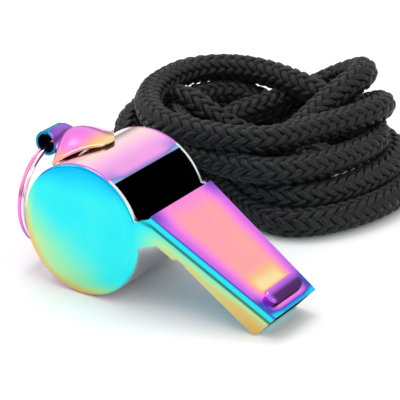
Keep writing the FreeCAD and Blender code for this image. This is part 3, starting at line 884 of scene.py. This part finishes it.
# %% The eye of the lug
EYE_CENTRE = Vector((EYE_X, 0.0, EYE_Z))
EYE_HOLE = 1.55
EYE_SHEET = 0.52
EYE_HALF_WIDTH = 2.3
eye_bm = bmesh.new()
made = bmesh.ops.create_grid(eye_bm, x_segments=1, y_segments=6, size=1.0)
for vert in made["verts"]:
    reach = EYE_HOLE + EYE_SHEET * (vert.co.x + 1.0) * 0.5
    vert.co = (EYE_CENTRE + Vector((reach, EYE_HALF_WIDTH * vert.co.y, 0.0))) * MM
bmesh.ops.rotate(eye_bm, verts=eye_bm.verts, cent=EYE_CENTRE * MM,
                 matrix=Matrix.Rotation(math.radians(-85.0), 3, "Y"))
bmesh.ops.spin(eye_bm, geom=eye_bm.faces[:], cent=EYE_CENTRE * MM, axis=(0.0, -1.0, 0.0),
               angle=math.radians(318.0), steps=40)
print("eye faces:", len(eye_bm.faces))
lug_eye = smooth_piece("lug_eye", eye_bm, lug_material, "whistle")
eye_edge = lug_eye.modifiers.new("edge", "BEVEL")
eye_edge.width = 0.08 * MM
eye_edge.segments = 2
eye_edge.limit_method = "ANGLE"

# %% [markdown]
# ## Foot under the eye
# Under the eye the strip comes down onto the barrel and is fixed there. A small grid is moved row
# by row, as the leaf was, so that it meets both the eye and the barrel's curve.

# %% The foot under the eye
# Each row: angle round the barrel, rise above it, half width.
FOOT_ROWS = [(137.2, 3.05, 2.5), (136.4, 2.4, 2.5), (135.6, 1.7, 2.6), (134.9, 1.0, 3.0),
             (134.6, 0.5, 3.7), (135.6, 0.30, 4.4), (138.5, 0.20, 4.6)]
foot_bm = bmesh.new()
made = bmesh.ops.create_grid(foot_bm, x_segments=len(FOOT_ROWS) - 1, y_segments=6, size=1.0)
for vert in made["verts"]:
    row = round((vert.co.x + 1.0) * 0.5 * (len(FOOT_ROWS) - 1))
    angle, rise, half = FOOT_ROWS[row]
    vert.co = on_barrel(angle, rise, half * vert.co.y) * MM
lug_foot = smooth_piece("lug_foot", foot_bm, lug_material, "whistle")
foot_wall = lug_foot.modifiers.new("wall", "SOLIDIFY")
foot_wall.thickness = LEAF_SHEET * MM
foot_wall.offset = 0.0
foot_round = lug_foot.modifiers.new("round", "SUBSURF")
foot_round.levels = 2
foot_round.render_levels = 2
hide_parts("ring_lug")
print("lug parts:", lug_leaf.name, lug_eye.name, lug_foot.name)

# %% [markdown]
# ## Key ring
# A split ring is one wire wound twice. Its oval section is spun nearly once in one plane, steps
# sideways by one wire, and is spun nearly once more. The step is turned to the far side.

# %% The two turns of the ring
RING_CENTRE = Vector((-22.335, 0.0, 11.08))
RING_RADIUS = 8.5
WIRE_ACROSS = 0.41
WIRE_ALONG = 0.35
ring_bm = bmesh.new()
made = bmesh.ops.create_circle(ring_bm, cap_ends=True, segments=16, radius=1.0)
for vert in made["verts"]:
    across, along = vert.co.x, vert.co.y
    vert.co = (RING_CENTRE + Vector((-WIRE_ALONG + WIRE_ALONG * along, 0.0,
                                     -RING_RADIUS + WIRE_ACROSS * across))) * MM
bmesh.ops.rotate(ring_bm, verts=ring_bm.verts, cent=RING_CENTRE * MM,
                 matrix=Matrix.Rotation(math.radians(70.0), 3, "X"))


def wind(bm, section, degrees, shift, steps):
    made = bmesh.ops.spin(bm, geom=section, cent=RING_CENTRE * MM, axis=(1.0, 0.0, 0.0),
                          dvec=(shift / steps * MM, 0.0, 0.0), angle=math.radians(degrees),
                          steps=steps)
    return made["geom_last"]


section = ring_bm.faces[:]
section = wind(ring_bm, section, 320.0, 0.0, 96)
section = wind(ring_bm, section, 50.0, 2.0 * WIRE_ALONG + 0.02, 16)
section = wind(ring_bm, section, 300.0, 0.0, 90)
split_wire = smooth_piece("split_wire", ring_bm, ring_material, "key_ring")
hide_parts("split_ring")
print("ring faces:", len(split_wire.data.polygons))

# %% [markdown]
# ## Cork pea
# The ball is cut from cork: warm brown grains, darker pits and a matt skin.

# %% Cork
cork, tree, shader, coords = new_material("cork")
grains = node(tree, "ShaderNodeTexVoronoi")
tree.links.new(coords.outputs["Object"], grains.inputs["Vector"])
grains.inputs["Scale"].default_value = 1400.0
pits = noise(tree, coords.outputs["Object"], 700.0, 4.0)
grain_mix = math_node(tree, "MULTIPLY_ADD", grains.outputs["Distance"], 0.5,
                      math_node(tree, "MULTIPLY", pits, 0.6))
tree.links.new(ramp(tree, grain_mix, [(0.2, (0.05, 0.022, 0.008)), (0.45, (0.26, 0.13, 0.055)),
                                      (0.8, (0.48, 0.29, 0.14))]), shader.inputs["Base Color"])
tree.links.new(ranged(tree, pits, 0.2, 0.8, 0.7, 0.9), shader.inputs["Roughness"])
bump(tree, shader, grain_mix, 0.0002, 0.6)
print("pea finish:", cork.name)

# %% [markdown]
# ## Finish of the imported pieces
# The sheets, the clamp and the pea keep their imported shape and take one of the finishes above.
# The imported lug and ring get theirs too, although finer pieces stand in for them.

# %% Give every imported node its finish
def finish_node(name, material):
    piece = bpy.data.objects[name]
    for slot in piece.material_slots:
        slot.material = material
    if not piece.material_slots:
        piece.data.materials.append(material)


FINISHES = {"side_plate_left": side_material, "side_plate_right": side_material,
            "barrel_band": band_material, "mouthpiece_top": plate_material,
            "windway_floor": windway_material, "ring_lug": lug_material,
            "split_ring": ring_material, "lanyard_clamp": clamp_material, "cork_pea": cork}
for name, material in FINISHES.items():
    finish_node(name, material)
print("finished nodes:", len(FINISHES))

# %% [markdown]
# ## Last update
# The view layer is brought up to date once more.

# %% Last update
bpy.context.view_layer.update()
